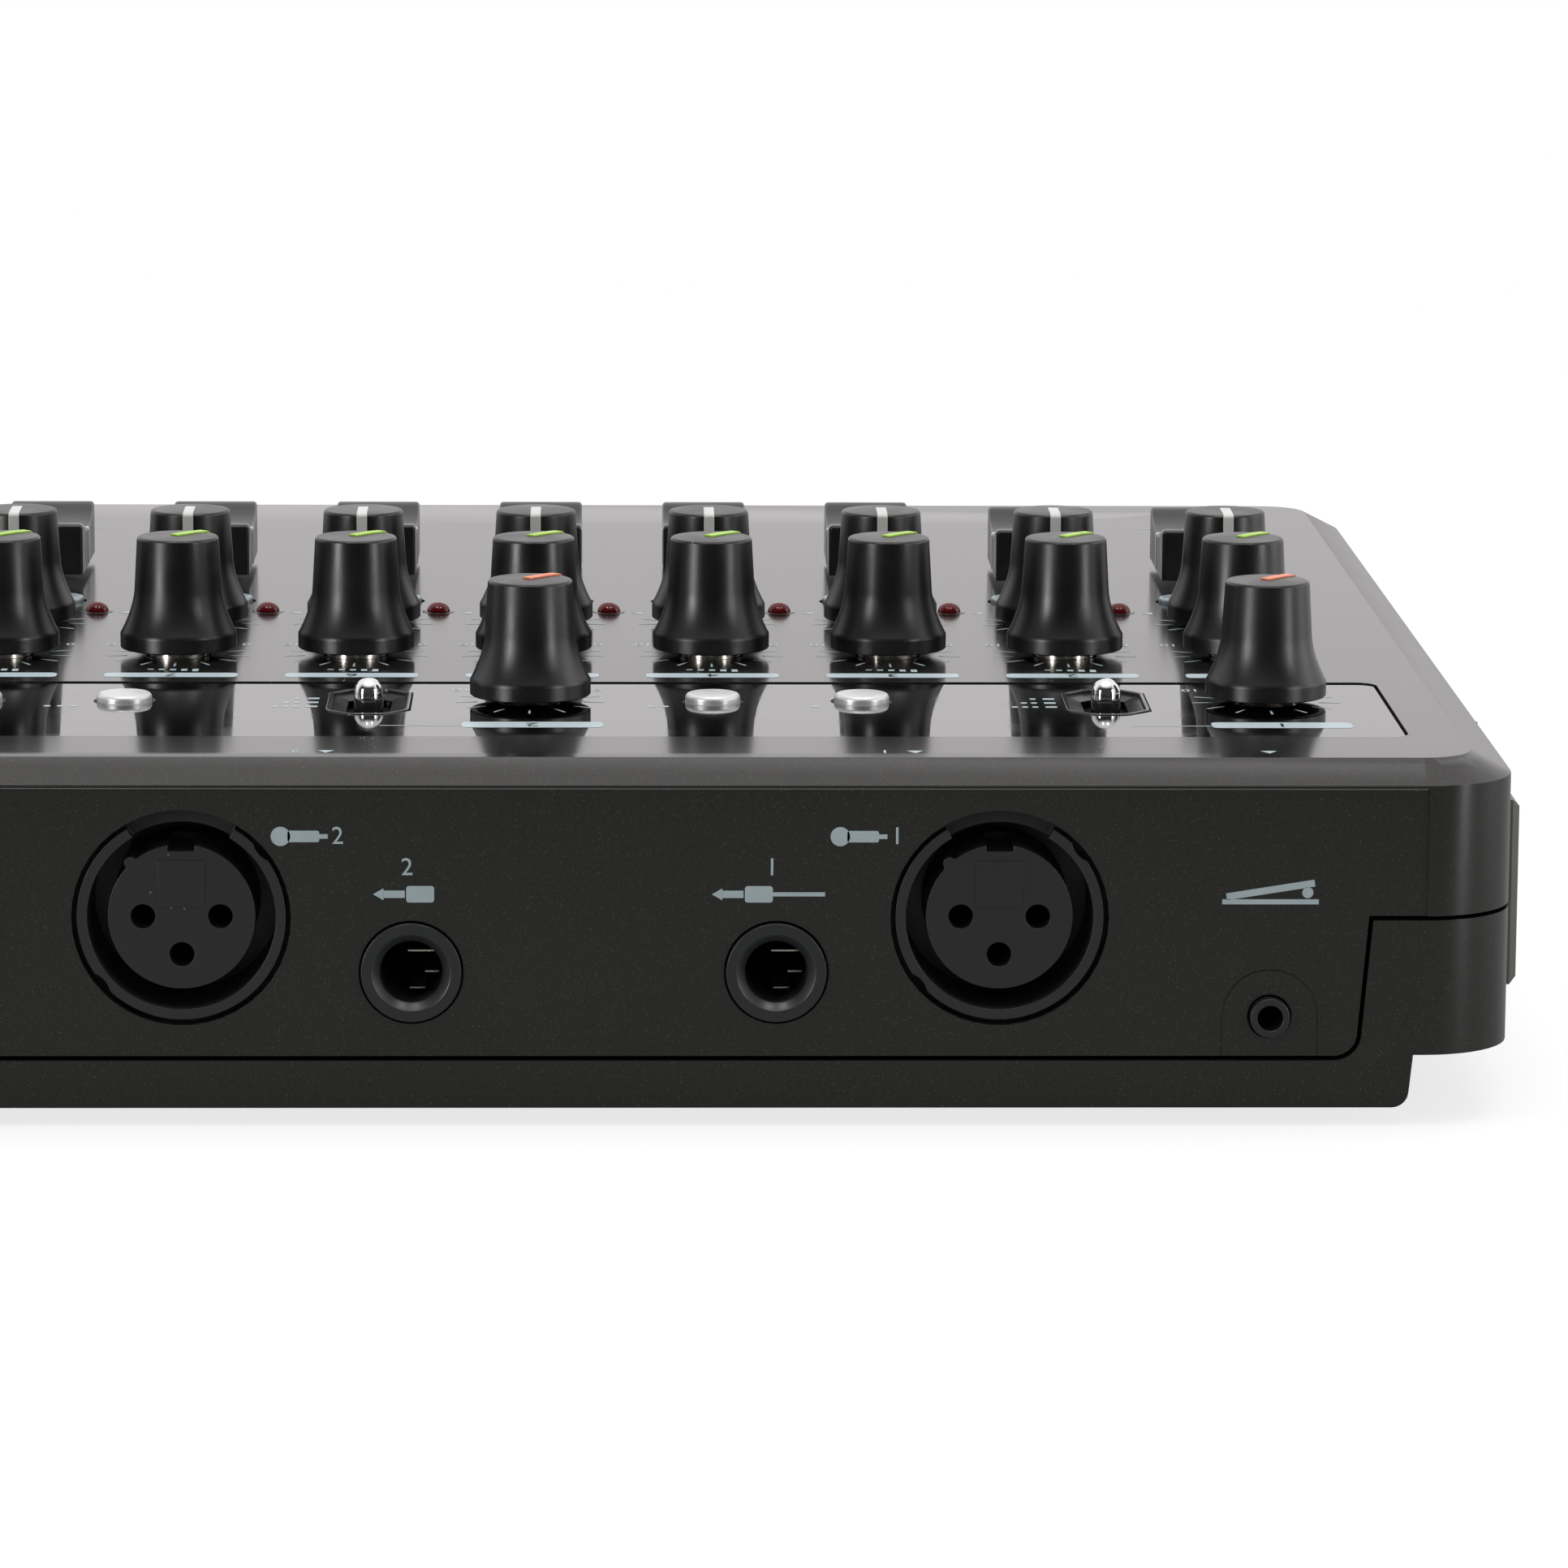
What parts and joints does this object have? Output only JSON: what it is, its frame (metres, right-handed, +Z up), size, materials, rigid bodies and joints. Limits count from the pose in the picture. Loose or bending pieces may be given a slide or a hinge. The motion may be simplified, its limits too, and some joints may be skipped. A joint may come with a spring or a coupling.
{
  "type": "digital multitrack recorder",
  "caption": "Desktop multitrack recorder with channel knobs and faders, a glossy input panel, a display, a data wheel and audio sockets along the back.",
  "frame": {"origin": "on the table, under the middle of the case", "axes": "+Z up, +Y out of the back wall with the sockets, +X to the player's right"},
  "size_m": [0.2922, 0.2063, 0.0543],
  "materials": {
    "case_charcoal": "fine-flake charcoal paint, satin",
    "gloss_panel": "polished black acrylic",
    "clear_window": "clear acrylic",
    "display_glass": "grey-green display glass",
    "board_green": "circuit board",
    "socket_black": "moulded black plastic",
    "nickel": "nickel plate",
    "lamp_red": "clear red lens",
    "screw_black": "blackened steel",
    "rubber_black": "soft rubber",
    "knob_black": "satin black plastic",
    "fader_black": "satin black plastic",
    "chrome": "polished chrome",
    "silver_key": "satin silver paint",
    "key_grey": "satin grey plastic",
    "door_grey": "satin light grey plastic",
    "print_pale": "pale printed ink",
    "pointer_white": "white plastic insert",
    "pointer_green": "lime green plastic insert",
    "pointer_orange": "orange plastic insert"
  },
  "bodies": {
    "case": {"top_case": "case_charcoal", "bottom_case": "case_charcoal", "input_panel": "gloss_panel", "display_window": "clear_window", "lcd_module": "display_glass", "panel_board": "board_green", "main_board": "board_green", "mic_sockets": "socket_black", "line_jacks": "socket_black", "remote_jack": "socket_black", "power_inlet": "socket_black", "rotary_pots": "nickel", "slide_pots": "nickel", "track_lamps": "lamp_red", "case_screws": "screw_black", "rubber_feet": "rubber_black"},
    "card_door": {"card_door": "door_grey"},
    "data_wheel": {"data_wheel": "knob_black"},
    "input_lever_a": {"input_lever_a": "chrome"},
    "input_lever_b": {"input_lever_b": "chrome"},
    "power_button": {"power_button": "key_grey"},
    "record_key_strip": {"record_key_strip": "silver_key"},
    "menu_key_strip": {"menu_key_strip": "silver_key"},
    "master_fader": {"master_fader": "fader_black"},
    "track_fader_1": {"track_fader_1": "fader_black"},
    "trim_knob_a": {"trim_knob_a": "knob_black"},
    "reverb_knob_1": {"reverb_knob_1": "knob_black"},
    "pan_knob_1": {"pan_knob_1": "knob_black"},
    "round_button_1": {"round_button_1": "silver_key"},
    "transport_key_1": {"transport_key_1": "key_grey"},
    "level_knob": {"level_knob": "knob_black"},
    "trim_knob_b": {"trim_knob_b": "knob_black"},
    "track_fader_2": {"track_fader_2": "fader_black"},
    "track_fader_3": {"track_fader_3": "fader_black"},
    "track_fader_4": {"track_fader_4": "fader_black"},
    "track_fader_5": {"track_fader_5": "fader_black"},
    "track_fader_6": {"track_fader_6": "fader_black"},
    "track_fader_7": {"track_fader_7": "fader_black"},
    "track_fader_8": {"track_fader_8": "fader_black"},
    "reverb_knob_2": {"reverb_knob_2": "knob_black"},
    "reverb_knob_3": {"reverb_knob_3": "knob_black"},
    "reverb_knob_4": {"reverb_knob_4": "knob_black"},
    "reverb_knob_5": {"reverb_knob_5": "knob_black"},
    "reverb_knob_6": {"reverb_knob_6": "knob_black"},
    "reverb_knob_7": {"reverb_knob_7": "knob_black"},
    "reverb_knob_8": {"reverb_knob_8": "knob_black"},
    "pan_knob_2": {"pan_knob_2": "knob_black"},
    "pan_knob_3": {"pan_knob_3": "knob_black"},
    "pan_knob_4": {"pan_knob_4": "knob_black"},
    "pan_knob_5": {"pan_knob_5": "knob_black"},
    "pan_knob_6": {"pan_knob_6": "knob_black"},
    "pan_knob_7": {"pan_knob_7": "knob_black"},
    "pan_knob_8": {"pan_knob_8": "knob_black"},
    "round_button_2": {"round_button_2": "silver_key"},
    "round_button_3": {"round_button_3": "silver_key"},
    "round_button_4": {"round_button_4": "silver_key"},
    "transport_key_2": {"transport_key_2": "key_grey"},
    "transport_key_3": {"transport_key_3": "key_grey"},
    "transport_key_4": {"transport_key_4": "key_grey"},
    "transport_key_5": {"transport_key_5": "key_grey"}
  },
  "joints": [
    {"name": "card_door_swing", "type": "hinge", "parent": "case", "child": "card_door", "pos_m": [-0.14625, 0.04525, 0.022], "axis": [0, 0, 1], "range_deg": [0, 110]},
    {"name": "data_wheel_turn", "type": "hinge", "parent": "case", "child": "data_wheel", "pos_m": [0.096, -0.00975, 0.042], "axis": [0, 0, 1], "continuous": true},
    {"name": "input_lever_a_slide", "type": "slide", "parent": "case", "child": "input_lever_a", "axis": [0, 1, 0], "range_m": [-0.003, 0.003]},
    {"name": "input_lever_b_slide", "type": "slide", "parent": "case", "child": "input_lever_b", "axis": [0, 1, 0], "range_m": [-0.003, 0.003]},
    {"name": "power_button_press", "type": "slide", "parent": "case", "child": "power_button", "axis": [0, -1, 0], "range_m": [0, 0.0015], "stiffness_N_per_m": 400, "springref_m": -0.002},
    {"name": "record_key_strip_press", "type": "slide", "parent": "case", "child": "record_key_strip", "axis": [0, 0, -1], "range_m": [0, 0.0006], "stiffness_N_per_m": 400, "springref_m": -0.002},
    {"name": "menu_key_strip_press", "type": "slide", "parent": "case", "child": "menu_key_strip", "axis": [0, 0, -1], "range_m": [0, 0.0006], "stiffness_N_per_m": 400, "springref_m": -0.002},
    {"name": "master_fader_slide", "type": "slide", "parent": "case", "child": "master_fader", "axis": [0, 1, 0], "range_m": [-0.0385, 0.0065]},
    {"name": "track_fader_1_slide", "type": "slide", "parent": "case", "child": "track_fader_1", "axis": [0, 1, 0], "range_m": [-0.0425, 0.0025]},
    {"name": "trim_knob_a_turn", "type": "hinge", "parent": "case", "child": "trim_knob_a", "pos_m": [-0.1212, 0.06075, 0.045], "axis": [0, 0, -1], "range_deg": [0, 280]},
    {"name": "reverb_knob_1_turn", "type": "hinge", "parent": "case", "child": "reverb_knob_1", "pos_m": [-0.1212, 0.02925, 0.045], "axis": [0, 0, -1], "range_deg": [0, 280]},
    {"name": "pan_knob_1_turn", "type": "hinge", "parent": "case", "child": "pan_knob_1", "pos_m": [-0.1212, 0.00525, 0.045], "axis": [0, 0, -1], "range_deg": [-140, 140]},
    {"name": "round_button_1_press", "type": "slide", "parent": "case", "child": "round_button_1", "axis": [0, 0, -1], "range_m": [0, 0.0006], "stiffness_N_per_m": 400, "springref_m": -0.002},
    {"name": "transport_key_1_press", "type": "slide", "parent": "case", "child": "transport_key_1", "axis": [0, 0, -1], "range_m": [0, 0.0006], "stiffness_N_per_m": 400, "springref_m": -0.002},
    {"name": "level_knob_turn", "type": "hinge", "parent": "case", "child": "level_knob", "pos_m": [0.0448, 0.00525, 0.045], "axis": [0, 0, -1], "range_deg": [0, 280]},
    {"name": "trim_knob_b_turn", "type": "hinge", "parent": "case", "child": "trim_knob_b", "pos_m": [-0.0382, 0.06075, 0.045], "axis": [0, 0, -1], "range_deg": [0, 280]},
    {"name": "track_fader_2_slide", "type": "slide", "parent": "case", "child": "track_fader_2", "axis": [0, 1, 0], "range_m": [-0.0425, 0.0025]},
    {"name": "track_fader_3_slide", "type": "slide", "parent": "case", "child": "track_fader_3", "axis": [0, 1, 0], "range_m": [-0.0385, 0.0065]},
    {"name": "track_fader_4_slide", "type": "slide", "parent": "case", "child": "track_fader_4", "axis": [0, 1, 0], "range_m": [-0.0385, 0.0065]},
    {"name": "track_fader_5_slide", "type": "slide", "parent": "case", "child": "track_fader_5", "axis": [0, 1, 0], "range_m": [-0.0385, 0.0065]},
    {"name": "track_fader_6_slide", "type": "slide", "parent": "case", "child": "track_fader_6", "axis": [0, 1, 0], "range_m": [-0.0385, 0.0065]},
    {"name": "track_fader_7_slide", "type": "slide", "parent": "case", "child": "track_fader_7", "axis": [0, 1, 0], "range_m": [-0.0385, 0.0065]},
    {"name": "track_fader_8_slide", "type": "slide", "parent": "case", "child": "track_fader_8", "axis": [0, 1, 0], "range_m": [-0.0385, 0.0065]},
    {"name": "reverb_knob_2_turn", "type": "hinge", "parent": "case", "child": "reverb_knob_2", "pos_m": [-0.10045, 0.02925, 0.045], "axis": [0, 0, -1], "range_deg": [0, 280]},
    {"name": "reverb_knob_3_turn", "type": "hinge", "parent": "case", "child": "reverb_knob_3", "pos_m": [-0.0797, 0.02925, 0.045], "axis": [0, 0, -1], "range_deg": [0, 280]},
    {"name": "reverb_knob_4_turn", "type": "hinge", "parent": "case", "child": "reverb_knob_4", "pos_m": [-0.05895, 0.02925, 0.045], "axis": [0, 0, -1], "range_deg": [0, 280]},
    {"name": "reverb_knob_5_turn", "type": "hinge", "parent": "case", "child": "reverb_knob_5", "pos_m": [-0.0382, 0.02925, 0.045], "axis": [0, 0, -1], "range_deg": [0, 280]},
    {"name": "reverb_knob_6_turn", "type": "hinge", "parent": "case", "child": "reverb_knob_6", "pos_m": [-0.01745, 0.02925, 0.045], "axis": [0, 0, -1], "range_deg": [0, 280]},
    {"name": "reverb_knob_7_turn", "type": "hinge", "parent": "case", "child": "reverb_knob_7", "pos_m": [0.0033, 0.02925, 0.045], "axis": [0, 0, -1], "range_deg": [0, 280]},
    {"name": "reverb_knob_8_turn", "type": "hinge", "parent": "case", "child": "reverb_knob_8", "pos_m": [0.02405, 0.02925, 0.045], "axis": [0, 0, -1], "range_deg": [0, 280]},
    {"name": "pan_knob_2_turn", "type": "hinge", "parent": "case", "child": "pan_knob_2", "pos_m": [-0.10045, 0.00525, 0.045], "axis": [0, 0, -1], "range_deg": [-140, 140]},
    {"name": "pan_knob_3_turn", "type": "hinge", "parent": "case", "child": "pan_knob_3", "pos_m": [-0.0797, 0.00525, 0.045], "axis": [0, 0, -1], "range_deg": [-140, 140]},
    {"name": "pan_knob_4_turn", "type": "hinge", "parent": "case", "child": "pan_knob_4", "pos_m": [-0.05895, 0.00525, 0.045], "axis": [0, 0, -1], "range_deg": [-140, 140]},
    {"name": "pan_knob_5_turn", "type": "hinge", "parent": "case", "child": "pan_knob_5", "pos_m": [-0.0382, 0.00525, 0.045], "axis": [0, 0, -1], "range_deg": [-140, 140]},
    {"name": "pan_knob_6_turn", "type": "hinge", "parent": "case", "child": "pan_knob_6", "pos_m": [-0.01745, 0.00525, 0.045], "axis": [0, 0, -1], "range_deg": [-140, 140]},
    {"name": "pan_knob_7_turn", "type": "hinge", "parent": "case", "child": "pan_knob_7", "pos_m": [0.0033, 0.00525, 0.045], "axis": [0, 0, -1], "range_deg": [-140, 140]},
    {"name": "pan_knob_8_turn", "type": "hinge", "parent": "case", "child": "pan_knob_8", "pos_m": [0.02405, 0.00525, 0.045], "axis": [0, 0, -1], "range_deg": [-140, 140]},
    {"name": "round_button_2_press", "type": "slide", "parent": "case", "child": "round_button_2", "axis": [0, 0, -1], "range_m": [0, 0.0006], "stiffness_N_per_m": 400, "springref_m": -0.002},
    {"name": "round_button_3_press", "type": "slide", "parent": "case", "child": "round_button_3", "axis": [0, 0, -1], "range_m": [0, 0.0006], "stiffness_N_per_m": 400, "springref_m": -0.002},
    {"name": "round_button_4_press", "type": "slide", "parent": "case", "child": "round_button_4", "axis": [0, 0, -1], "range_m": [0, 0.0006], "stiffness_N_per_m": 400, "springref_m": -0.002},
    {"name": "transport_key_2_press", "type": "slide", "parent": "case", "child": "transport_key_2", "axis": [0, 0, -1], "range_m": [0, 0.0006], "stiffness_N_per_m": 400, "springref_m": -0.002},
    {"name": "transport_key_3_press", "type": "slide", "parent": "case", "child": "transport_key_3", "axis": [0, 0, -1], "range_m": [0, 0.0006], "stiffness_N_per_m": 400, "springref_m": -0.002},
    {"name": "transport_key_4_press", "type": "slide", "parent": "case", "child": "transport_key_4", "axis": [0, 0, -1], "range_m": [0, 0.0006], "stiffness_N_per_m": 400, "springref_m": -0.002},
    {"name": "transport_key_5_press", "type": "slide", "parent": "case", "child": "transport_key_5", "axis": [0, 0, -1], "range_m": [0, 0.0006], "stiffness_N_per_m": 400, "springref_m": -0.002}
  ]
}
